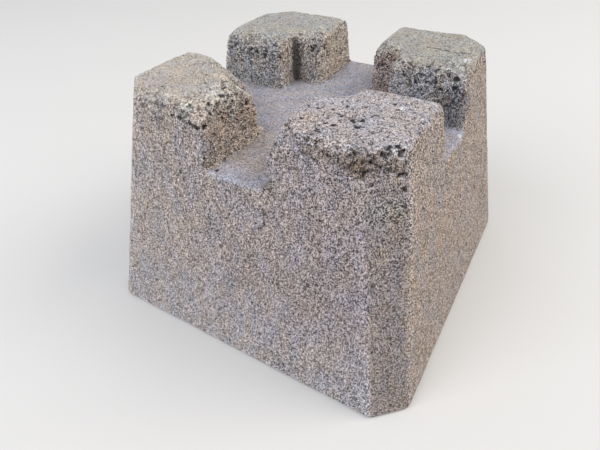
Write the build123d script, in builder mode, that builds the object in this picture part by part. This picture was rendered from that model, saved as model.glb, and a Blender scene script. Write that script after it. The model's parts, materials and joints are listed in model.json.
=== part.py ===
"""Cast concrete deck block: a tapered square footing with four corner posts.

Between the posts, a cross of slots takes joists on edge, and a square recess at the
crossing takes the foot of a timber post. All of it was cast in one piece. Three of the
posts have lost corners since.

Origin at the centre of the underside, +Z up, with the slots running along X and Y. The
front is at -Y and the right at +X.
"""

import math
import os

from build123d import *

# Overall form, in millimetres
base_width = 266.7  # side of the square underside, 10 1/2 in
top_width = 196.0  # side of the square across the post tops
block_height = 177.8  # 7 in
corner_flat = 19.5  # leg of the flat that cuts each upright corner

# Seats pressed between the corner posts
slot_width = 44.5  # a joist 38 mm thick stands in it on edge
slot_depth = 39.0
recess_width = 90.5  # a square timber post of 89 mm stands in it
recess_corner = 5.0  # radius of the recess's upright corners, for a post with eased edges
wall_draft = 1.0  # degrees, so that the press head lifts out

# Softened edges
upright_radius = 5.0  # where a corner flat meets the faces beside it
shoulder_radius = 7.0  # top edges of the posts, above the slots and the recess
wing_radius = 5.0  # upright edges of the posts, between slot and recess
rim_radius = 2.5  # top edges of the posts above the outer faces, and the slot mouths
foot_radius = 2.0  # round the underside

floor_height = block_height - slot_depth
half_top = top_width / 2
half_slot = slot_width / 2
half_recess = recess_width / 2
face_lean = math.degrees(math.atan2((base_width - top_width) / 2, block_height))

# Corners knocked off the posts: the corner in plan, the X and the Y at which the break across
# it comes out on the post's top, and how far below the top it starts at the corner
inner_break = ((-half_slot, -half_slot), (-half_recess - 35.0, -half_recess - 21.0), 32.0)
outer_breaks = [
    ((half_slot, -half_top), (half_slot + 20.0, -half_top + 25.0), 15.0),  # front right post
    ((half_top, half_slot), (half_top - 30.0, half_slot + 16.0), 6.0),  # back right post
    ((half_slot, half_recess), (half_slot + 16.0, half_recess + 20.0), 9.0),  # back right post
]
lowest_break = floor_height + shoulder_radius  # no break reaches below this

# What the selectors below go by
near = 3.0  # how far the middle of an edge may lie from the lines that it follows
steep = 0.5  # rise of an upright edge, for each millimetre of its length, at the least
off_true = 1e-6  # how far a direction may lie off level, or off square


def is_wall(face: Face) -> bool:
    """True for a flat wall of the slots or the recess, before it is drafted."""
    return face.geom_type == GeomType.PLANE and abs(face.normal_at().Z) < off_true


def is_upright(edge: Edge) -> bool:
    """True for an edge that climbs along a leaning face or a drafted wall."""
    return abs(edge.tangent_at(0.5).Z) > steep


def is_wing(edge: Edge) -> bool:
    """True for an upright edge of a post, where a slot opens into the recess."""
    middle = edge.position_at(0.5)
    short_way, long_way = sorted((abs(middle.X), abs(middle.Y)))
    beside_slot = abs(short_way - half_slot) < near
    at_recess = abs(long_way - half_recess) < near
    return is_upright(edge) and beside_slot and at_recess


def is_rim(edge: Edge) -> bool:
    """True for a post's top edge that lies over the block's outer faces."""
    middle = edge.position_at(0.5)
    over_face = max(abs(middle.X), abs(middle.Y)) > half_top - near
    over_flat = abs(middle.X) + abs(middle.Y) > 2 * half_top - corner_flat - near
    return over_face or over_flat


def is_shoulder(edge: Edge) -> bool:
    """True for a post's top edge over a wall of a slot or the recess, and not over a break."""
    runs = edge.tangent_at(0.5)
    along_wall = min(abs(runs.X), abs(runs.Y)) < off_true or edge.geom_type == GeomType.CIRCLE
    return along_wall and not is_rim(edge)


def chip(corner: tuple, top_ends: tuple, depth: float) -> Part:
    """What was knocked off a post: all of it that stood over a break across a top corner."""
    x, y = corner
    end_x, end_y = top_ends
    lowest = Vector(x, y, block_height - depth)
    outwards = (Vector(end_x, y, block_height) - lowest).cross(Vector(x, end_y, block_height) - lowest)
    if outwards.Z < 0:
        outwards = -outwards

    beside = (base_width + half_slot) / 2  # keeps the piece over one post
    over_post = (math.copysign(beside, x), math.copysign(beside, y), lowest_break)
    standing = (Align.CENTER, Align.CENTER, Align.MIN)
    with BuildPart() as piece:
        with Locations(Plane(lowest, z_dir=outwards)):
            Box(base_width, base_width, base_width, align=standing)
        with Locations(over_post):
            Box(base_width, base_width, base_width, align=standing, mode=Mode.INTERSECT)
    return piece.part


with BuildPart() as block:
    # Tapered body, with a narrow flat down each upright corner
    with BuildSketch() as underside:
        Rectangle(base_width, base_width)
    extrude(amount=block_height, taper=face_lean)
    chamfer(block.edges().filter_by(is_upright), corner_flat)
    fillet(block.edges().filter_by(is_upright), upright_radius)

    # Cross of slots, and the square recess where they meet, pressed to one floor
    with BuildSketch(Plane.XY.offset(floor_height)) as seats:
        Rectangle(base_width, slot_width)
        Rectangle(slot_width, base_width)
        RectangleRounded(recess_width, recess_width, recess_corner)
    extrude(amount=slot_depth, mode=Mode.SUBTRACT)
    draft(block.faces().filter_by(is_wall), Plane.XY.offset(floor_height), wall_draft)

    # Break across the inner corner of the front left post, before the rounding that ends at it
    add(chip(*inner_break), mode=Mode.SUBTRACT)

    # Rounded posts: the top edges over the seats first, and then the upright edges
    fillet(block.edges().group_by(Axis.Z)[-1].filter_by(is_shoulder), shoulder_radius)
    fillet(block.edges().filter_by(is_wing), wing_radius)

    # Rounded outer rims, with the slot mouths that they run into, and the foot
    fillet(block.edges().group_by(Axis.Z)[-1].filter_by(is_rim), rim_radius)
    fillet(block.edges().group_by(Axis.Z)[0], foot_radius)

    # Smaller breaks through the rounded edges
    for outer_break in outer_breaks:
        add(chip(*outer_break), mode=Mode.SUBTRACT)

block.part.label = "block"
os.makedirs("parts", exist_ok=True)
export_step(block.part, "parts/block.step")
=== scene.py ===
import json
import math

import bpy
import numpy as np
from mathutils import Matrix, Vector, noise
from mathutils.kdtree import KDTree


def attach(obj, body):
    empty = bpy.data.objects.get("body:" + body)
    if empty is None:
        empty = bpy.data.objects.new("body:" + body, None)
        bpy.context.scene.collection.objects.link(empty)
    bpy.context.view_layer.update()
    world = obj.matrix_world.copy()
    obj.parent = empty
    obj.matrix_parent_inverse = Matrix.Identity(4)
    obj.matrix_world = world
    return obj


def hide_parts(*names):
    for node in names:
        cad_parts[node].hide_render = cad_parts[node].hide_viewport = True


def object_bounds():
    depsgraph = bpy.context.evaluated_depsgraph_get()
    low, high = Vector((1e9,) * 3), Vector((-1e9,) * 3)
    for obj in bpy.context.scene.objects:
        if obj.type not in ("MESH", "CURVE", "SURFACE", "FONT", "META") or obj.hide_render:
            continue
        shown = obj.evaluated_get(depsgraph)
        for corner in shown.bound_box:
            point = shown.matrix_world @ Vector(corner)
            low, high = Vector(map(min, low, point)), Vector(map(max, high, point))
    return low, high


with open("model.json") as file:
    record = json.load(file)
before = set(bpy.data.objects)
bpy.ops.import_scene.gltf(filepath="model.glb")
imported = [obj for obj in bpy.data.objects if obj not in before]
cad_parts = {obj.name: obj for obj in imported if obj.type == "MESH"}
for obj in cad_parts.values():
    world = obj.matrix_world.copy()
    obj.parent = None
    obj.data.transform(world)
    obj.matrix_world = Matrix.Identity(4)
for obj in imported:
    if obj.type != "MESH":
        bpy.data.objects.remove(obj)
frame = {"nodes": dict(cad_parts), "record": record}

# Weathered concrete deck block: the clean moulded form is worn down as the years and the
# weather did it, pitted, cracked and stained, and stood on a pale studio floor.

mm = 0.001
cad_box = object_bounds()
chance = np.random.default_rng(7)
noise.seed_set(7)    # noise_vector would differ from run to run without it

# The moulded form: floor, top and base from the frame, the rest as the part's source has it
floor_z = next(m["pos_m"][2] for m in frame["record"]["mounts"] if m["name"] == "post_seat")
top_z = cad_box[1].z
half_base = cad_box[1].x
half_top = 98.0 * mm
half_slot = 22.25 * mm
half_recess = 45.25 * mm
recess_corner = 5.0 * mm
moulded_shoulder = 7.0 * mm
moulded_rim = 2.5 * mm
face_lean = math.atan2(half_base - half_top, top_z)

# Tones of the concrete, as base colours, and painted warm light for what faces right. Tops and walls have
# one for the left and the right half
front_left_tone = (0.450, 0.402, 0.380, 1)
front_right_tone = (0.375, 0.330, 0.335, 1)
low_tone = (0.465, 0.440, 0.450, 1)
cut_corner_tone = (0.325, 0.287, 0.278, 1)
# Painted warm light that makes the faces that face right beige
right_face_painted_warm_light = (0.409, 0.349, 0.312, 1)
top_tones = {"front": [(0.47, 0.435, 0.40, 1), (0.435, 0.41, 0.425, 1)],
             "back": [(0.405, 0.395, 0.375, 1), (0.395, 0.385, 0.36, 1)]}
wall_tones = {"front": [(0.44, 0.37, 0.325, 1), (0.35, 0.32, 0.30, 1)],
              "back": [(0.375, 0.37, 0.37, 1), (0.345, 0.34, 0.355, 1)],
              "recess": [(0.42, 0.39, 0.37, 1), (0.35, 0.285, 0.262, 1)]}
# Painted warm light that makes the back posts' walls that face right beige
wall_painted_warm_light = (0.52, 0.455, 0.39, 1)
lip_tone = (0.31, 0.265, 0.235, 1)
floor_tone = (0.43, 0.42, 0.47, 1)
floor_sand_tone = (0.44, 0.395, 0.375, 1)

# Mesh fineness
merge_distance = 0.01 * mm
carving_voxel = 1.6 * mm
grain_voxel = 1.0 * mm
most_triangles = 194000
head_thinning = 3e-5      # how much the thinning of the mesh spares the head of the block
weight_steps = 20         # vertex weights are rounded to this many steps
flat_below = 0.35 * mm    # what lies lower than this is pressed flat onto the ground
inside_box = 0.02 * mm    # how far the worn form stays inside the moulded form's box


def smoothstep(low, high, value):
    """0 below low, 1 above high, and a smooth rise between them."""
    t = np.clip((value - low) / (high - low), 0, 1)
    return t * t * (3 - 2 * t)


# Working on a mesh

def coordinates(piece):
    """The piece's vertices, one row each, in metres."""
    co = np.empty(len(piece.data.vertices) * 3, np.float32)
    piece.data.vertices.foreach_get("co", co)
    return co.reshape(-1, 3).astype(float)


def vertex_normals(piece):
    """The piece's smooth normals, one row for each vertex."""
    normals = np.empty(len(piece.data.vertices) * 3, np.float32)
    piece.data.vertex_normals.foreach_get("vector", normals)
    return normals.reshape(-1, 3).astype(float)


def put_back(piece, co):
    """Moves the piece's vertices to the rows of co."""
    piece.data.vertices.foreach_set("co", co.astype(np.float32).ravel())
    piece.data.update()


def take_up(piece):
    """Selects one piece alone and makes it active."""
    bpy.ops.object.select_all(action="DESELECT")
    piece.select_set(True)
    bpy.context.view_layer.objects.active = piece


def finish_with(piece, kind, **settings):
    """Adds a modifier with these settings and applies it."""
    take_up(piece)
    modifier = piece.modifiers.new(kind.lower(), kind)
    for name, value in settings.items():
        setattr(modifier, name, value)
    bpy.ops.object.modifier_apply(modifier=modifier.name)


def weigh(piece, name, weights):
    """Gives the piece a vertex group with these weights."""
    group = piece.vertex_groups.new(name=name)
    for step in range(1, weight_steps + 1):
        chosen = np.nonzero(np.round(weights * weight_steps) == step)[0]
        if len(chosen):
            group.add(chosen.tolist(), step / weight_steps, "REPLACE")
    return group.name


def roughen(piece, name, kind, size, strength, group, **settings):
    """Pushes the piece's surface in and out by a procedural texture, where the group says."""
    grain = bpy.data.textures.new(name, kind)
    grain.noise_scale = size
    for setting, value in settings.items():
        setattr(grain, setting, value)
    finish_with(piece, "DISPLACE", texture=grain, texture_coords="LOCAL", direction="NORMAL",
                mid_level=0.5, strength=strength, vertex_group=group)


# Shape of the seats, for anything measured from them

def depth_in_post(x, y):
    """How far a point lies behind the walls of the slots and the recess, in plan."""
    across, along = np.abs(x), np.abs(y)
    centre = half_recess - recess_corner
    corner = np.hypot(np.maximum(across - centre, 0), np.maximum(along - centre, 0)) - recess_corner
    in_recess = np.maximum(across, along) - half_recess
    corner = np.where((across > centre) & (along > centre), corner, in_recess)
    return np.minimum(np.minimum(across, along) - half_slot, corner)


def out_of_post(x, y):
    """Which way the nearest wall faces, in plan."""
    step = 0.2 * mm
    away_x = (depth_in_post(x - step, y) - depth_in_post(x + step, y)) / (2 * step)
    away_y = (depth_in_post(x, y - step) - depth_in_post(x, y + step)) / (2 * step)
    return away_x, away_y


def depth_in_face(co):
    """How far a point lies behind the nearest of the four leaning outer faces."""
    widest = np.maximum(np.abs(co[:, 0]), np.abs(co[:, 1]))
    return (half_base - widest) * math.cos(face_lean) - co[:, 2] * math.sin(face_lean)


def bumps_at(x, y, bumps):
    """The sum of soft bumps at a point in plan, each given as (x, y, reach, height)."""
    total = np.zeros_like(x)
    for bump_x, bump_y, reach, height in bumps:
        away = np.hypot(x - bump_x * mm, y - bump_y * mm) / (reach * mm)
        total += height * mm * np.exp(-away * away)
    return total


# Breaks across the posts' corners, as the moulded form has them: the corner in plan, the X
# and the Y at which the break comes out on top, and how far down it starts at the corner
breaks = [
    ((-half_slot, -half_slot), (-half_recess - 35 * mm, -half_recess - 21 * mm), 32 * mm),
    ((half_slot, -half_top), (half_slot + 20 * mm, -half_top + 25 * mm), 15 * mm),
    ((half_top, half_slot), (half_top - 30 * mm, half_slot + 16 * mm), 6 * mm),
    ((half_slot, half_recess), (half_slot + 16 * mm, half_recess + 20 * mm), 9 * mm),
]

# Wear, in millimetres: places where the shoulders over the seats, the outer rims and the feet of
# the seats' walls have a larger radius, as (x, y, reach, more radius)
worn_shoulders = [
    (-22, -50, 12, 3), (-22, -90, 14, 3), (-90, -22, 14, 1),
    (22, -46, 12, 2), (22, 44, 14, 2), (96, 22, 14, 2), (-96, 22, 16, 2), (-72, 22, 16, 5),
    (-48, 24, 16, 6), (-24, 46, 16, 6),
]
worn_rims = [
    (-62, -98, 12, 6), (-45, -98, 12, 4), (-80, -97, 8, 1), (-98, -50, 20, 1.5), (-34, -98, 10, 5),
    (88, -90, 10, 3), (98, -26, 8, 4), (98, 28, 10, 3), (-98, 26, 8, 3), (40, 98, 16, 1.5),
    (-30, 98, 8, 3), (-98, -30, 8, 3), (-60, 98, 16, 1.5),
]
crumb_banks = [(-22, -52, 14, 8.0), (-22, -74, 14, 7.0), (-22, -95, 11, 5.0), (-22, 70, 16, 3.0),
               (98, 22, 12, 4.0)]

# Wear that is everywhere: the rims' added radius, the least radius at a wall's foot, and patches
# of more and less wear, as their size and the share
rim_wear = 0.5 * mm
foot_crumbs = 0.3 * mm
wear_patches = (9 * mm, 0.3)

# The breaks' crumbled faces: lumps as (size, height), and how softly a break's edge ends
break_lumps = [(7 * mm, 1.1 * mm), (2.8 * mm, 0.5 * mm)]
break_softness = 0.8 * mm

# Knocked-off corners that the moulded form leaves whole: what stands proud of a plane is gone.
# The post, as the signs of x and y; a point of the plane; the way it faces; how softly it ends
shaves = [
    ((-1, -1), (-27, -97, 173), (0.55, -0.45, 0.70), 1.2),
    ((1, -1), (24, -40, 175), (-0.35, 0.35, 0.87), 1.5),
    ((-1, 1), (-93, 24, 176), (-0.30, -0.50, 0.81), 1.5),
]

# Crumbled places, where grains and lumps have fallen out: (x, y, z, reach, how much)
crumbled = [
    (-28, -56, 170, 16, 1.0), (-26, -78, 171, 14, 1.0), (-36, -94, 172, 12, 1.0),
    (-44, -42, 168, 16, 0.9), (-62, -34, 174, 12, 0.7), (-58, -98, 171, 12, 0.6),
    (32, -92, 170, 11, 0.9), (48, -99, 172, 9, 0.7), (62, -100, 171, 9, 0.6), (76, -99, 171, 9, 0.7),
    (89, -92, 172, 9, 0.9), (62, -67, 178, 7, 1.0), (28, -50, 175, 10, 0.5), (50, -24, 175, 9, 0.4),
    (84, 27, 172, 15, 1.0), (60, 23, 174, 13, 0.8), (30, 50, 172, 12, 0.7), (98, 23, 160, 9, 0.8),
    (-48, 25, 173, 12, 0.9), (-70, 22, 173, 14, 0.7), (-24, 50, 174, 11, 0.9), (-92, 23, 174, 9, 0.6),
    (-25, 94, 175, 8, 0.7), (-98, 60, 176, 9, 0.5), (-60, 98, 176, 9, 0.5), (98, 70, 176, 8, 0.5),
    (-98, -60, 176, 8, 0.4), (50, 98, 176, 10, 0.5), (-98, 24, 160, 8, 0.6), (-24, 100, 160, 8, 0.6),
]


def ripple(co, size):
    """Smooth noise between -1 and 1 at each row of co, with lumps of about this size."""
    return np.array([noise.noise(Vector(row) / size) for row in co])


def near_spots(co, spots):
    """How close each row of co is to any of some spots, from 0 far off to the spot's share."""
    close = np.zeros(len(co))
    for *centre, reach, share in spots:
        away = np.linalg.norm(co - np.array(centre) * mm, axis=1) / (reach * mm)
        close = np.maximum(close, share * np.exp(-away ** 2))
    return close


def round_over(inside, below, radius):
    """The moves away from two planes that bring the edge between them to a radius."""
    from_side = np.maximum(radius - inside, 0)
    from_top = np.maximum(radius - below, 0)
    reach = np.maximum(np.hypot(from_side, from_top), 1e-9)
    at_edge = (from_side > 0) & (from_top > 0)
    share = np.where(at_edge, np.maximum(1 - radius / reach, 0), 0)
    return from_side * share, from_top * share


def break_plane(corner, top_ends, depth):
    """A point and the facing of the break across a post's corner."""
    lowest = np.array([*corner, top_z - depth])
    along_x = np.array([top_ends[0], corner[1], top_z]) - lowest
    along_y = np.array([corner[0], top_ends[1], top_z]) - lowest
    facing = np.cross(along_x, along_y)
    facing *= np.sign(facing[2]) / np.linalg.norm(facing)
    return lowest, facing


def shave(part, side, point, facing, softness, lumpy):
    """Takes off what stands proud of a lumpy plane on one post."""
    proud = softness * np.logaddexp(0, ((part - point) @ facing + lumpy) / softness)
    there = (part[:, 0] * side[0] > 0) & (part[:, 1] * side[1] > 0)
    above = smoothstep(floor_z + 4 * mm, floor_z + 8 * mm, part[:, 2])
    return part - np.outer(np.where(there, proud * above, 0), facing)


def wear_shoulders(part, uneven):
    """Rounds the tops of the posts over towards the slots and the recess."""
    x, y, z = part.T
    away_x, away_y = out_of_post(x, y)
    radius = moulded_shoulder + bumps_at(x, y, worn_shoulders) * uneven
    sideways, down = round_over(depth_in_post(x, y), top_z - z, radius)
    return part - np.stack([away_x * sideways, away_y * sideways, down], 1)


def wear_rims(part, uneven):
    """Rounds the tops of the posts over towards the outer faces."""
    x, y, z = part.T
    on_x = np.where(np.abs(x) > np.abs(y), 1, 0)
    inwards = np.stack([-np.sign(x) * on_x, -np.sign(y) * (1 - on_x), np.zeros_like(x)], 1)
    radius = moulded_rim + (rim_wear + bumps_at(x, y, worn_rims)) * uneven
    sideways, down = round_over(depth_in_face(part), top_z - z, radius)
    part = part + inwards * sideways[:, None]
    part[:, 2] -= down
    return part


def bank_crumbs(part, uneven):
    """Fills the feet of the seats' walls with crumbs, less so where they reach an outer face."""
    x, y, z = part.T
    away_x, away_y = out_of_post(x, y)
    radius = (foot_crumbs + bumps_at(x, y, crumb_banks)) * uneven
    clear_of_wall = np.maximum(-depth_in_post(x, y), 0)
    sideways, up = round_over(clear_of_wall, np.maximum(z - floor_z, 0), radius)
    inside = smoothstep(0, 3.5 * mm, depth_in_face(part))
    return part + np.stack([away_x * sideways, away_y * sideways, up], 1) * inside[:, None]


def wear_posts(piece):
    """Wears the posts' shoulders and rims, banks crumbs at their feet and roughens their breaks."""
    co = coordinates(piece)
    chosen = np.nonzero(co[:, 2] > floor_z - 2 * mm)[0]
    part = co[chosen]
    size, share = wear_patches
    uneven = 1 + share * ripple(part, size)
    for work in (wear_shoulders, wear_rims, bank_crumbs):
        part = work(part, uneven)
    lumpy = sum(height * ripple(part, size) for size, height in break_lumps)
    for corner, top_ends, depth in breaks:
        point, facing = break_plane(corner, top_ends, depth)
        part = shave(part, np.sign(corner), point, facing, break_softness, lumpy)
    for side, point, facing, softness in shaves:
        facing = np.array(facing) / np.linalg.norm(facing)
        part = shave(part, side, np.array(point) * mm, facing, softness * mm, lumpy)
    co[chosen] = part
    put_back(piece, co)


def along(co, path):
    """Distance of each row of co from a path of straight steps, in metres."""
    near = np.full(len(co), np.inf)
    for first, last in zip(path, path[1:]):
        first, last = np.array(first) * mm, np.array(last) * mm
        run = last - first
        share = np.clip((co - first) @ run / (run @ run), 0, 1)
        near = np.minimum(near, np.linalg.norm(co - first - np.outer(share, run), axis=1))
    return near


# Cracks, and lines of painted shade drawn as cracks: the path, how wide and how deep. One of no depth is
# only a dark line
cracks_and_painted_shade_lines = [
    ([(50, -66, 178), (60, -68, 178), (65, -66, 178), (70, -60, 178), (82, -56, 178), (89, -57, 178)],
     0.9, 0.9),
    ([(61, 58, 178), (70, 58, 178), (81, 56, 178), (92, 57, 178)], 1.1, 0.7),
    ([(26, -105, 143), (25, -107, 134), (24, -108, 126), (24, -110, 117)], 0.9, 0.8),
    ([(106, -23, 140), (107, -23, 132), (109, -21, 121)], 1.2, 1.1),
    ([(25, -102, 155), (26, -104, 148)], 0.9, 0.9),
    ([(-42, -100, 168), (-34, -100, 166), (-26, -100, 166)], 1.3, 1.2),
    ([(114, 71, 99), (116, 72, 89)], 1.0, 0.0),
    # These two follow the lip's lower edge: shallow grooves whose dark is the painted shadow under the
    # lip
    ([(46, -100, 171), (51, -100, 166.5), (58, -100, 166)], 0.7, 0.6),
    ([(69, -101, 166.5), (83, -99, 166.5), (89, -92, 167), (97, -86, 163)], 0.8, 0.7),
    # Painted shade down the inner corner of the back left post's recess, not a crack
    ([(-44, 44, 141), (-43, 43, 172)], 3.5, 0.0),
]

# How cracks and holes stray from their drawn shapes: the size of the bends, and how far
crack_bends = (5 * mm, 1.6 * mm)
hole_bends = (2.4 * mm, 1.5 * mm)

# The front right post's lip, which stands proud of the face over a ragged line: (x, z)
lip_line = [(42, 176), (49, 167.5), (58, 166), (71, 167), (89, 167), (98, 162)]
lip_rise = 0.7 * mm

# Lumps that stand proud, and one dent: (x, y, z, reach, height)
lumps = [
    (-24, -99, 171, 6, 2.0), (-36, -97, 177, 4.0, 1.2), (90, -88, 173, 4, 0.8), (78, -46, 177, 4, 0.6),
    (88, 22, 163, 7, 1.4), (-70, -60, 176, 12, 0.5), (60, -80, 177, 8, 0.5), (-23, -47, 152, 9, 2.5),
    (45, -45, 172, 8, 3.0), (23, -105, 145, 8, -2.5),
]
carved_from = 110 * mm    # no crack with a depth, no lump and no lip lies lower


def wander(co, size, reach):
    """The places with a smooth sideways drift, so that what is measured from them wanders."""
    drift = np.array([noise.noise_vector(Vector(row) / size) for row in co])
    return co + drift * reach


def over_lip(co):
    """1 on the front right post's lip and 0 off it, with a ragged lower edge."""
    line_x, line_z = np.array(lip_line).T * mm
    lower = np.interp(co[:, 0], line_x, line_z)
    ends = smoothstep(38 * mm, 46 * mm, co[:, 0]) * smoothstep(-80 * mm, -86 * mm, co[:, 1])
    return smoothstep(-0.6 * mm, 0.9 * mm, co[:, 2] - lower) * ends


def carve(piece):
    """Cuts the cracks, raises the lumps and lifts the lip, all of them on the block's upper part."""
    co = coordinates(piece)
    normals = vertex_normals(piece)
    chosen = np.nonzero(co[:, 2] > carved_from)[0]
    part = wander(co[chosen], *crack_bends)
    move = lip_rise * over_lip(part) * smoothstep(0.8, 0.3, normals[chosen, 2])
    for path, width, depth in cracks_and_painted_shade_lines:
        away = along(part, path) / (width * mm)
        move -= depth * mm * np.exp(-away ** 2)
    for *centre, reach, height in lumps:
        away = np.linalg.norm(part - np.array(centre) * mm, axis=1) / (reach * mm)
        move += height * mm * np.exp(-away ** 2)
    co[chosen] += normals[chosen] * move[:, None]
    put_back(piece, co)


def regions(co, normals):
    """Where a vertex belongs, each from 0 to 1: seat walls, seat floor, post tops, underside."""
    x, y, z = co.T
    upwards = normals[:, 2]
    above_floor = z - floor_z
    behind = depth_in_post(x, y)
    from_outside = depth_in_face(co)

    # Walls, which may lean more near their feet and run out where they reach an outer face
    at_foot = smoothstep(14 * mm, 8 * mm, above_floor)
    upright = smoothstep(0.62 + 0.30 * at_foot, 0.30 + 0.35 * at_foot, np.abs(upwards))
    outer = smoothstep(5 * mm, 2.5 * mm, from_outside)
    wall = upright * smoothstep(-1 * mm, 1.5 * mm, above_floor) * (1 - outer)
    wall *= smoothstep(12 * mm, 6 * mm, behind)

    # Their rounded feet and the banks of crumbs count as wall, not as floor
    foot = np.maximum(bumps_at(x, y, crumb_banks), 2.6 * mm)
    bank = smoothstep(-1.0, -0.6, behind / foot) * at_foot * smoothstep(0.5 * mm, 2 * mm, from_outside)
    bank *= smoothstep(-2 * mm, -0.5 * mm, above_floor)
    wall = np.clip(np.maximum(wall, bank), 0, 1)

    # The floor, and its brim, where it turns over into an outer face between the posts
    level = smoothstep(0.60, 0.88, upwards) * smoothstep(3 * mm, 1.2 * mm, above_floor)
    brim = smoothstep(-4 * mm, -1.5 * mm, above_floor) * smoothstep(-0.5 * mm, -2.5 * mm, behind)
    floor = np.maximum(level, brim * smoothstep(2 * mm, 0, above_floor)) * (1 - bank)

    top = smoothstep(0.38, 0.70, upwards) * smoothstep(12 * mm, 22 * mm, above_floor)
    under = smoothstep(-0.6, -0.9, upwards)
    return wall, floor, top, under


# Small pits in the cast skin
pit_count = 4500
smallest_pit = 1.1 * mm
largest_pit = 2.2 * mm
pit_depth = 0.7           # as a share of a pit's radius

# Single holes where grains have fallen out: (x, y, z, radius)
holes = [
    (62, -70, 178, 2.2), (66, -68, 178, 2.4), (54, -69, 178, 1.7), (67, -76, 178, 2.0),
    (57, -75, 178, 1.8), (55, -80, 178, 1.7), (35, -81, 178, 1.7), (50, -89, 178, 2.1),
    (48, -94, 178, 1.9), (38, -65, 178, 1.8), (61, -52, 178, 1.5), (51, -57, 178, 1.5),
    (76, -68, 178, 1.5), (79, -47, 178, 1.5), (88, -46, 178, 1.5), (75, -41, 178, 1.6),
    (50, -80, 178, 1.4), (89, -87, 177, 2.0), (93, -83, 176, 1.7), (95, -83, 173, 2.2),
    (97, -86, 162, 1.8), (99, -84, 161, 1.6), (100, -86, 154, 1.7), (82, -99, 167, 1.9),
    (24, -104, 146, 1.5), (-28, -95, 177, 2.0), (-25, -87, 176, 2.0), (-30, -68, 177, 2.2),
    (-26, -75, 176, 2.2), (-26, -63, 172, 2.0), (-24, -48, 162, 2.2), (-24, -55, 164, 2.0),
    (-23, -98, 166, 2.2), (-27, -100, 166, 2.0), (-24, -90, 171, 2.0), (-16, -101, 139, 1.4),
    (-60, -107, 135, 1.9), (-73, -112, 110, 1.6), (-40, -100, 169, 1.8), (-46, -100, 169, 1.6),
    (-66, -85, 178, 1.3), (-36, -60, 177, 2.0), (-42, -46, 175, 2.0), (-31, -52, 172, 2.2),
    (-52, -34, 172, 2.0), (93, 24, 172, 2.0), (84, 23, 164, 2.0), (93, 23, 166, 1.8),
    (79, 23, 168, 1.8), (66, 23, 166, 1.6), (-75, 23, 166, 1.6), (-68, 23, 165, 1.8),
    (-60, 23, 164, 1.9), (-53, 23, 165, 1.7), (-47, 25, 164, 1.5), (-29, 46, 166, 2.2),
    (-31, 46, 168, 1.6), (-46, 33, 167, 1.5),
]


def sink(piece, tree, centres, sizes):
    """Pushes a round pit into the piece at each centre."""
    co = coordinates(piece)
    normals = vertex_normals(piece)
    pitted = co.copy()
    for centre, size in zip(centres, sizes):
        _, middle, _ = tree.find(centre)
        found = tree.find_range(co[middle], size)
        rows = [f[1] for f in found]
        away = np.array([f[2] for f in found]) / size
        pitted[rows] -= normals[middle] * (pit_depth * size * (1 - away ** 2) ** 1.5)[:, None]
    put_back(piece, pitted)


def peck(piece, where):
    """Pushes many small round pits into a piece, as the weights say, and the single holes."""
    co = coordinates(piece)
    tree = KDTree(len(co))
    for index, row in enumerate(co):
        tree.insert(row, index)
    tree.balance()
    centres = co[chance.choice(len(co), pit_count, p=where / where.sum())]
    sizes = smallest_pit + (largest_pit - smallest_pit) * chance.random(pit_count) ** 2
    single = np.array(holes) * mm
    sink(piece, tree, np.vstack([centres, single[:, :3]]), np.append(sizes, single[:, 3]))


def weather(piece):
    """Gives the cast skin its grain: waves, rough walls, crumbled edges and pits."""
    co = coordinates(piece)
    normals = vertex_normals(piece)
    wall, floor, top, under = regions(co, normals)
    crumb = near_spots(co, crumbled)
    side = (1 - wall) * (1 - floor) * (1 - top) * (1 - under)
    near_rim = smoothstep(7 * mm, 2 * mm, depth_in_face(co))
    near_rim *= smoothstep(12 * mm, 4 * mm, top_z - co[:, 2])
    crumb = np.clip(crumb + 0.3 * near_rim * (1 - under), 0, 1)
    rough_top = top * (co[:, 0] > 0) * (co[:, 1] < 0)
    skin = side * 0.4 + top * 0.5 + wall * 0.5 + floor * 0.1
    skin = weigh(piece, "skin", np.clip(skin, 0, 1))
    rough = wall * 0.4 + crumb * 0.8 + side * 0.08 + rough_top * 0.25
    rough = weigh(piece, "rough", np.clip(rough, 0, 1))
    roughen(piece, "long_waves", "CLOUDS", 22 * mm, 1.6 * mm, skin, noise_depth=1)
    roughen(piece, "lumps", "CLOUDS", 5 * mm, 1.8 * mm, rough, noise_depth=2)
    roughen(piece, "crumbs", "VORONOI", 2.6 * mm, -1.2 * mm, rough, noise_intensity=1.0)
    often = 0.02 + side * 0.04 + top * 0.06 + rough_top * 0.25 + wall * 0.25 + crumb * 1.2
    peck(piece, often * (1 - under) * (1 - floor * 0.95))
    piece.vertex_groups.clear()


def trim(piece):
    """Keeps the piece inside the moulded form's box, flat underneath."""
    co = coordinates(piece)
    co[co[:, 2] < flat_below, 2] = 0
    low, high = np.array(cad_box[0]) + inside_box, np.array(cad_box[1]) - inside_box
    low[2] = 0
    put_back(piece, np.clip(co, low, high))


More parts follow.
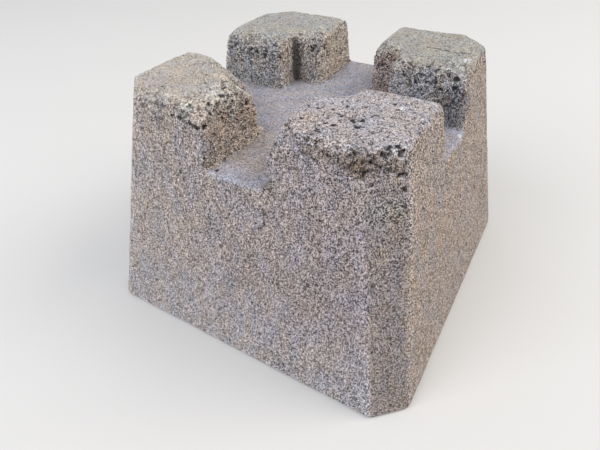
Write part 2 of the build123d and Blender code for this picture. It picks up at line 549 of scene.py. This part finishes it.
def block_form():
    """The worn concrete block as one even mesh, from a merged copy of the moulded form."""
    moulded = frame["nodes"]["block"]
    piece = bpy.data.objects.new("concrete_block", moulded.data.copy())
    bpy.context.scene.collection.objects.link(piece)
    take_up(piece)
    bpy.ops.object.mode_set(mode="EDIT")
    bpy.ops.mesh.select_all(action="SELECT")
    bpy.ops.mesh.remove_doubles(threshold=merge_distance)
    bpy.ops.object.mode_set(mode="OBJECT")
    piece.data.materials.clear()
    finish_with(piece, "REMESH", mode="VOXEL", voxel_size=carving_voxel)
    wear_posts(piece)
    finish_with(piece, "REMESH", mode="VOXEL", voxel_size=grain_voxel)
    carve(piece)
    weather(piece)

    # The mesh has squares here, so two triangles for each, and the head stays finer than the body
    body = smoothstep(floor_z - 8 * mm, floor_z - 16 * mm, coordinates(piece)[:, 2])
    plain = weigh(piece, "plain", 0.5 + 0.5 * body)
    finish_with(piece, "DECIMATE", ratio=most_triangles / (2 * len(piece.data.polygons)),
                vertex_group=plain, vertex_group_factor=head_thinning)
    piece.vertex_groups.clear()
    trim(piece)
    piece.data.shade_smooth()
    return piece


def neighbour_mean(co, edges):
    """The mean place of each vertex's neighbours."""
    first, last = edges.T
    count = np.bincount(edges.ravel(), minlength=len(co)).astype(float)
    total = np.zeros_like(co)
    for here, there in ((first, last), (last, first)):
        for axis in range(3):
            total[:, axis] += np.bincount(here, co[there, axis], len(co))
    return total / np.maximum(count, 1)[:, None]


def mark(piece, name, values):
    """Keeps one value for each vertex, for the concrete to read."""
    layer = piece.data.attributes.new(name, "FLOAT", "POINT")
    layer.data.foreach_set("value", np.clip(values, 0, 1).astype(np.float32))


smoothing_rounds = 8
full_hollow = 0.7 * mm    # how far below its smoothed surroundings a vertex counts as fully sunk
crack_dark_reach = 1.1         # how far the dark of a crack reaches, as a share of its width


def mark_block(piece):
    """Marks the block's regions, hollows, cracks and lines of painted shade, holes and crumbled places
    for the concrete.
    """
    co = coordinates(piece)
    normals = vertex_normals(piece)
    edges = np.empty(len(piece.data.edges) * 2, np.int32)
    piece.data.edges.foreach_get("vertices", edges)
    edges = edges.reshape(-1, 2)
    smooth = co
    for _ in range(smoothing_rounds):
        smooth = neighbour_mean(smooth, edges)
    sunk = ((smooth - co) * normals).sum(1)
    wall, floor, top, _ = regions(smooth, normals)
    wandered = wander(co, *crack_bends)
    # Cracks and lines of painted shade, for the concrete to darken
    crack_and_painted_shade = np.zeros(len(co))
    for path, width, _ in cracks_and_painted_shade_lines:
        away = along(wandered, path) / (crack_dark_reach * width * mm)
        crack_and_painted_shade = np.maximum(crack_and_painted_shade, np.exp(-away ** 2))
    ragged = wander(co, *hole_bends)
    hole = np.zeros(len(co))
    for *centre, radius in holes:
        away = np.linalg.norm(ragged - np.array(centre) * mm, axis=1) / (radius * mm)
        hole = np.maximum(hole, np.exp(-away ** 2))
    mark(piece, "seat_wall", wall)
    mark(piece, "seat_floor", floor)
    mark(piece, "post_top", top)
    mark(piece, "crumbled", near_spots(co, crumbled))
    # The concrete darkens sunk places with dirt and painted shade and lightens proud ones with a painted
    # highlight
    mark(piece, "sunk", sunk / full_hollow)
    mark(piece, "proud", -sunk / full_hollow)
    mark(piece, "crack_and_painted_shade", crack_and_painted_shade)
    # The concrete darkens the holes with painted shade
    mark(piece, "hole", hole)
    mark(piece, "lip", over_lip(wandered))


# Shader maths

def socket_named(sockets, name):
    """The socket with this name that is in use, out of a node's inputs or outputs."""
    return next(s for s in sockets if s.name == name and s.enabled)


class Signal:
    """A shader socket that takes part in sums: each operator adds a Math node."""

    def __init__(self, graph, socket):
        self.graph = graph
        self.socket = socket

    def maths(self, operation, *values):
        """A Math node on these values."""
        return self.graph.add("Math", {"operation": operation}, list(values))

    def output(self, name):
        """Another output of the same node."""
        return Signal(self.graph, socket_named(self.socket.node.outputs, name))

    def __add__(self, other):
        return self.maths("ADD", self, other)

    def __radd__(self, other):
        return self.maths("ADD", other, self)

    def __sub__(self, other):
        return self.maths("SUBTRACT", self, other)

    def __rsub__(self, other):
        return self.maths("SUBTRACT", other, self)

    def __mul__(self, other):
        return self.maths("MULTIPLY", self, other)

    def __rmul__(self, other):
        return self.maths("MULTIPLY", other, self)

    def at_least(self, low):
        """The value, or low where the value is less."""
        return self.maths("MAXIMUM", self, low)

    def between(self, low, high):
        """0 where the value is low, 1 where it is high, eased between; low may be the larger."""
        ends = {"Value": self, "From Min": min(low, high), "From Max": max(low, high)}
        eased = self.graph.add("MapRange", {"interpolation_type": "SMOOTHSTEP"}, ends)
        return eased if low < high else 1 - eased


class Graph:
    """Adds nodes to the tree of one material or world."""

    def __init__(self, tree):
        self.tree = tree
        tree.nodes.clear()

    def add(self, kind, settings=None, inputs=None, output=0):
        """A node of this kind: its settings first, then the values or links of its sockets."""
        node = self.tree.nodes.new("ShaderNode" + kind)
        for name, value in (settings or {}).items():
            setattr(node, name, value)
        pairs = enumerate(inputs) if isinstance(inputs, list) else (inputs or {}).items()
        for name, value in pairs:
            socket = node.inputs[name] if isinstance(name, int) else socket_named(node.inputs, name)
            if isinstance(value, Signal):
                self.tree.links.new(value.socket, socket)
            else:
                socket.default_value = value
        if not node.outputs:
            return None
        if isinstance(output, str):
            return Signal(self, socket_named(node.outputs, output))
        return Signal(self, [s for s in node.outputs if s.enabled][output])

    def blend(self, factor, first, second, way="MIX"):
        """Mixes two colours by a factor."""
        return self.add("Mix", {"data_type": "RGBA", "blend_type": way},
                        {"Factor": factor, "A": first, "B": second})

    def marked(self, name):
        """The value that the mesh keeps for each vertex under this name."""
        return self.add("Attribute", {"attribute_name": name}, output="Fac")

    def stretch(self, place, scale):
        """The place with its axes multiplied by scale."""
        return self.add("VectorMath", {"operation": "MULTIPLY"}, [place, scale])

    def clouds(self, place, size, detail=2.0, roughness=0.5):
        """Soft noise whose lumps are about this size."""
        return self.add("TexNoise", None, {"Vector": place, "Scale": 1 / size, "Detail": detail,
                                           "Roughness": roughness})


# Stains, pale grains and pebbles: (x, y, z), reach, colour, share
stains = [
    ((82, -97, 171), 11, (0.20, 0.15, 0.115), 0.55), ((74, -100, 170), 7, (0.24, 0.18, 0.14), 0.45),
    ((-37, -95, 175.5), 5.0, (0.68, 0.66, 0.60), 0.9), ((-27, -98, 170), 6, (0.56, 0.48, 0.44), 0.7),
    ((80, -45, 177.8), 2.8, (0.70, 0.72, 0.74), 0.9), ((92, 44, 177.8), 4.5, (0.66, 0.68, 0.74), 0.8),
    ((105.8, 12, 138.6), 3.0, (0.66, 0.66, 0.66), 0.8), ((34, -84, 177), 12, (0.50, 0.40, 0.35), 0.5),
    ((92, -84, 176), 4, (0.50, 0.50, 0.52), 0.5), ((38, -109, 122), 2.2, (0.60, 0.57, 0.55), 0.5),
    ((50, -112, 109), 2.4, (0.60, 0.58, 0.56), 0.5), ((-66, -28, 178), 8, (0.46, 0.44, 0.36), 0.3),
    ((86, 23, 170), 7, (0.38, 0.35, 0.32), 0.6), ((-96, -86, 176), 4, (0.60, 0.62, 0.62), 0.6),
    ((-30, -75, 177), 12, (0.60, 0.58, 0.54), 0.6), ((-40, -50, 174), 12, (0.58, 0.54, 0.48), 0.6),
    ((-25, -99, 152), 7, (0.36, 0.35, 0.37), 0.5), ((-60, -101, 166), 12, (0.30, 0.275, 0.26), 0.4),
    ((-23, -64, 168), 8, (0.52, 0.48, 0.42), 0.6), ((-23, -84, 171), 6, (0.52, 0.48, 0.42), 0.5),
    ((-26, -50, 165), 6, (0.50, 0.45, 0.38), 0.5), ((94, 22, 150), 15, (0.19, 0.18, 0.185), 0.7),
]


class Grain:
    """Cells of random tone, rarity and tint, like grains of sand of one size."""

    def __init__(self, graph, place, size, upright_stretch=1.0):
        squeezed = graph.stretch(place, (1, 1, 1 / upright_stretch))
        pattern = {"Vector": squeezed, "Scale": 1 / size, "Randomness": 1.0}
        cells = graph.add("TexVoronoi", None, pattern, "Color")
        self.tone = graph.add("SeparateColor", None, [cells])
        self.rarity = self.tone.output("Green")
        self.tint = self.tone.output("Blue")
        self.distance = cells.output("Distance")


class OnBlock:
    """What the concrete knows of a point on the block: its place, facing, marks and region."""

    def __init__(self, graph):
        self.place = graph.add("TexCoord", output="Object")
        normal = graph.add("NewGeometry", output="Normal")
        self.facing = graph.add("SeparateXYZ", None, [normal], output="X")
        self.across = graph.add("SeparateXYZ", None, [self.place], output="X")
        self.inwards, self.height = self.across.output("Y"), self.across.output("Z")
        self.right = self.across.between(-6 * mm, 6 * mm)
        self.back = self.inwards.between(-6 * mm, 6 * mm)
        self.wall, self.floor = graph.marked("seat_wall"), graph.marked("seat_floor")
        self.top, self.lip = graph.marked("post_top"), graph.marked("lip")
        self.crumb, self.crack_and_painted_shade = graph.marked("crumbled"), graph.marked("crack_and_painted_shade")
        self.sunk, self.proud = graph.marked("sunk"), graph.marked("proud")
        self.hole = graph.marked("hole")
        self.side = (1 - self.wall) * (1 - self.floor) * (1 - self.top)
        # Faces that face right: they get painted warm light and a stronger grain
        self.right_side = self.facing.between(0.78, 0.95)
        self.crumbly_top = self.top * self.right * (1 - self.back)
        self.rough = self.wall * 0.9 + self.crumb * 0.4 + self.lip * 0.2 + self.crumbly_top * 0.2


def region_colour(graph, at):
    """The concrete's colour by region, with painted warm light on what faces right, before stains and
    grain.
    """
    colour = graph.blend(at.across.between(-110 * mm, 90 * mm), front_left_tone, front_right_tone)
    colour = graph.blend(at.height.between(90 * mm, 0) * 0.8, colour, low_tone)
    colour = graph.blend(at.facing.between(0.40, 0.62), colour, cut_corner_tone)
    # Painted warm light on the faces that face right
    colour = graph.blend(at.right_side, colour, right_face_painted_warm_light)
    colour = graph.blend(at.lip * 0.8, colour, lip_tone)
    tops = [graph.blend(at.right, *top_tones[row]) for row in ("front", "back")]
    colour = graph.blend(at.top, colour, graph.blend(at.back, *tops))
    front, back, recess = (graph.blend(at.right, *wall_tones[row]) for row in ("front", "back", "recess"))
    back = graph.blend(at.inwards.between(33 * mm, 40 * mm), back, recess)
    # Painted warm light on the back posts' walls that face right
    back = graph.blend(at.facing.between(0.5, 0.8), back, wall_painted_warm_light)
    colour = graph.blend(at.wall, colour, graph.blend(at.back, front, back))
    sandy = at.inwards.between(-30 * mm, -58 * mm) * at.inwards.between(-98 * mm, -84 * mm) * 0.8
    return graph.blend(at.floor, colour, graph.blend(sandy, floor_tone, floor_sand_tone))


def stained(graph, at, colour):
    """The colour with its stains, whose edges are ragged."""
    ragged = graph.clouds(at.place, 4 * mm)
    for centre, reach, stain, share in stains:
        centre = tuple(c * mm for c in centre)
        reach = reach * mm
        away = graph.add("VectorMath", {"operation": "DISTANCE"}, [at.place, centre], output="Value")
        away = away + ragged * (reach * 1.2)
        colour = graph.blend(away.between(reach * 1.8, reach) * share, colour, (*stain, 1))
    return colour


def grained(graph, at, colour):
    """The colour with its grain, holes and cracks, with painted shade and highlights, and the relief that
    goes with them.
    """
    sand = Grain(graph, at.place, 0.45 * mm, 1.3)
    grit = Grain(graph, at.place, 1.1 * mm)
    gravel = Grain(graph, at.place, 2.4 * mm)
    drag = graph.clouds(graph.stretch(at.place, (1, 1, 0.1)), 0.7 * mm, 1.0, 0.5)
    broad = graph.clouds(graph.stretch(at.place, (1, 1, 0.35)), 3.5 * mm, 2.0, 0.6)
    mottle = graph.clouds(graph.stretch(at.place, (1, 1, 0.5)), 14 * mm, 3.0)

    # Light and dark grains, the drag lines of the mould down the sides, and broader patches
    contrast = 1 + at.rough * 0.2 - at.floor * 0.4 - at.top * 0.4 + at.crumbly_top * 0.15
    contrast = contrast + at.right_side * at.side * 0.4
    speck = sand.tone.between(0.30, 0.70)
    shade = 1 + contrast * ((speck - 0.5) * 1.45 + (grit.tone - 0.5) * (0.10 + at.rough * 0.25))
    shade = shade + at.side * (drag - 0.5) * 1.6 + (broad - 0.5) * 0.4 + (mottle - 0.5) * 0.4

    # Painted shade in the voids and in the pocks of the crumbled places, dark grains, and specks on the
    # tops and the floor
    voids = (grit.rarity + at.rough * 0.1).between(0.86, 0.93) * grit.distance.between(0.60, 0.40)
    dark = sand.rarity.between(0.90, 0.94)
    pocks = gravel.rarity.between(0.74, 0.80) * gravel.distance.between(0.45, 0.28)
    pocks = pocks * (at.crumb * 1.2 - 0.2)
    specks = (grit.rarity + at.crumbly_top * 0.06).between(0.93, 0.96)
    specks = specks * grit.distance.between(0.60, 0.40) * (at.floor * 0.5 + at.top)
    shade = shade * (1 - voids * (0.35 + at.rough * 0.45)) * (1 - dark * 0.45)
    shade = shade * (1 - pocks.at_least(0.0) * 0.85) * (1 - specks * (0.6 + at.crumbly_top * 0.15))

    # Dirt and painted shade in the hollows, a painted highlight on what stands proud, painted shade in
    # the holes, and the dark of the cracks and of the lines of painted shade, with ragged edges
    hollow = (at.hole + (grit.tone - 0.5) * 0.35).between(0.30, 0.55)
    # The dark of the cracks, and painted shade in the lip's crease and in a recess corner
    chink_and_painted_shade = (at.crack_and_painted_shade + (grit.tone - 0.5) * 0.5).between(0.25, 0.75)
    shade = shade * (1 - at.sunk * (0.35 + at.crumb * 0.25)) * (1 + at.proud * 0.16)
    shade = shade * (1 - chink_and_painted_shade * 0.7) * (1 - hollow * 0.9)
    shade = shade.at_least(0.08)

    # Warmer and cooler grains, and patches of them
    grain_tint = graph.blend(sand.tint, (1.04, 1.0, 0.96, 1), (0.96, 1.0, 1.06, 1))
    patches = graph.clouds(graph.stretch(at.place, (1, 1, 0.4)), 11 * mm).between(0.35, 0.65)
    patch_tint = graph.blend(patches, (1.04, 1.0, 0.94, 1), (0.97, 1.0, 1.05, 1))
    for tint in (grain_tint, patch_tint):
        colour = graph.blend(1.0, colour, tint, "MULTIPLY")
    level = graph.add("CombineXYZ", None, [shade, shade, shade])
    colour = graph.add("VectorMath", {"operation": "MULTIPLY"}, [colour, level])

    relief = sand.tone * 0.5 + grit.tone * (0.3 + at.rough * 0.5) + at.side * drag * 0.6 - voids
    return colour, relief


def concrete():
    """Weathered dry-cast concrete."""
    material = bpy.data.materials.new("weathered_concrete")
    material.use_nodes = True
    graph = Graph(material.node_tree)
    at = OnBlock(graph)
    colour, relief = grained(graph, at, stained(graph, at, region_colour(graph, at)))
    bump = graph.add("Bump", None, {"Height": relief, "Strength": 0.8, "Distance": 0.4 * mm})
    surface = graph.add("BsdfPrincipled", None, {
        "Base Color": colour, "Roughness": 0.93, "Specular IOR Level": 0.2, "Normal": bump})
    graph.add("OutputMaterial", None, {"Surface": surface})
    return material


block = block_form()
mark_block(block)
block.data.materials.append(concrete())
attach(block, "root")
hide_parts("block")


# Studio: floor and sky look brighter to the camera than the light that they give the block

floor_width = 8.0
floor_lit = (0.45, 0.45, 0.45, 1)
floor_seen = (0.74, 0.74, 0.74, 1)
sky_tone = (0.97, 0.98, 1.0, 1)
sky_lit = 0.62
sky_seen = 0.86
lamps_aim = Vector((0, 0, 0.08))


def studio_floor():
    """A pale floor that keeps the block's shadow."""
    bpy.ops.mesh.primitive_plane_add(size=floor_width, location=(0, 0, 0))
    floor = bpy.context.object
    floor.name = "studio_floor"
    material = bpy.data.materials.new("pale_floor")
    material.use_nodes = True
    graph = Graph(material.node_tree)
    seen = graph.add("LightPath", output="Is Camera Ray")
    colour = graph.blend(seen, floor_lit, floor_seen)
    surface = graph.add("BsdfPrincipled", None, {
        "Base Color": colour, "Roughness": 0.9, "Specular IOR Level": 0.1})
    graph.add("OutputMaterial", None, {"Surface": surface})
    floor.data.materials.append(material)


def soft_light(name, place, size, watts, colour):
    """A square area lamp that faces the block."""
    lamp = bpy.data.lights.new(name, "AREA")
    lamp.size = size
    lamp.energy = watts
    lamp.color = colour
    holder = bpy.data.objects.new(name, lamp)
    bpy.context.scene.collection.objects.link(holder)
    place = Vector(place)
    holder.location = place
    holder.rotation_euler = (lamps_aim - place).to_track_quat("-Z", "Y").to_euler()


def studio_light():
    """A soft sky, a large warm lamp from the right and behind, a cool one from the front left."""
    world = bpy.data.worlds.new("soft_sky")
    bpy.context.scene.world = world
    world.use_nodes = True
    graph = Graph(world.node_tree)
    strength = sky_lit + graph.add("LightPath", output="Is Camera Ray") * (sky_seen - sky_lit)
    sky = graph.add("Background", None, {"Color": sky_tone, "Strength": strength})
    graph.add("OutputWorld", None, {"Surface": sky})
    soft_light("warm_key", (1.6, 0.9, 1.9), 1.6, 34, (1.0, 0.93, 0.84))
    soft_light("cool_fill", (-0.9, -1.7, 1.7), 1.8, 30, (0.97, 0.98, 1.0))


# The photograph's view, found by fitting the block's edges: place in metres, angles in degrees
camera_place = (0.15447, -0.27790, 0.29446)
camera_turn = 31.93  # from +Y towards -X
camera_tilt = -40.21
camera_roll = -2.07
focal_pixels = 451.9
picture_width = 600
sensor_width = 36.0


def photograph_camera():
    """The camera at the photograph's viewing angle."""
    turn, tilt, roll = (math.radians(a) for a in (camera_turn, camera_tilt, camera_roll))
    ahead = Vector((-math.sin(turn) * math.cos(tilt), math.cos(turn) * math.cos(tilt), math.sin(tilt)))
    level = Vector((math.cos(turn), math.sin(turn), 0))
    upright = level.cross(ahead)
    right = level * math.cos(roll) + upright * math.sin(roll)
    up = upright * math.cos(roll) - level * math.sin(roll)
    data = bpy.data.cameras.new("photograph_view")
    data.sensor_width = sensor_width
    data.lens = focal_pixels / picture_width * sensor_width
    data.clip_start = 0.01
    camera = bpy.data.objects.new("photograph_view", data)
    bpy.context.scene.collection.objects.link(camera)
    turned = Matrix((right, up, -ahead)).transposed().to_4x4()
    camera.matrix_world = Matrix.Translation(camera_place) @ turned
    bpy.context.scene.camera = camera


studio_floor()
studio_light()
photograph_camera()
bpy.context.scene.view_settings.view_transform = "Standard"
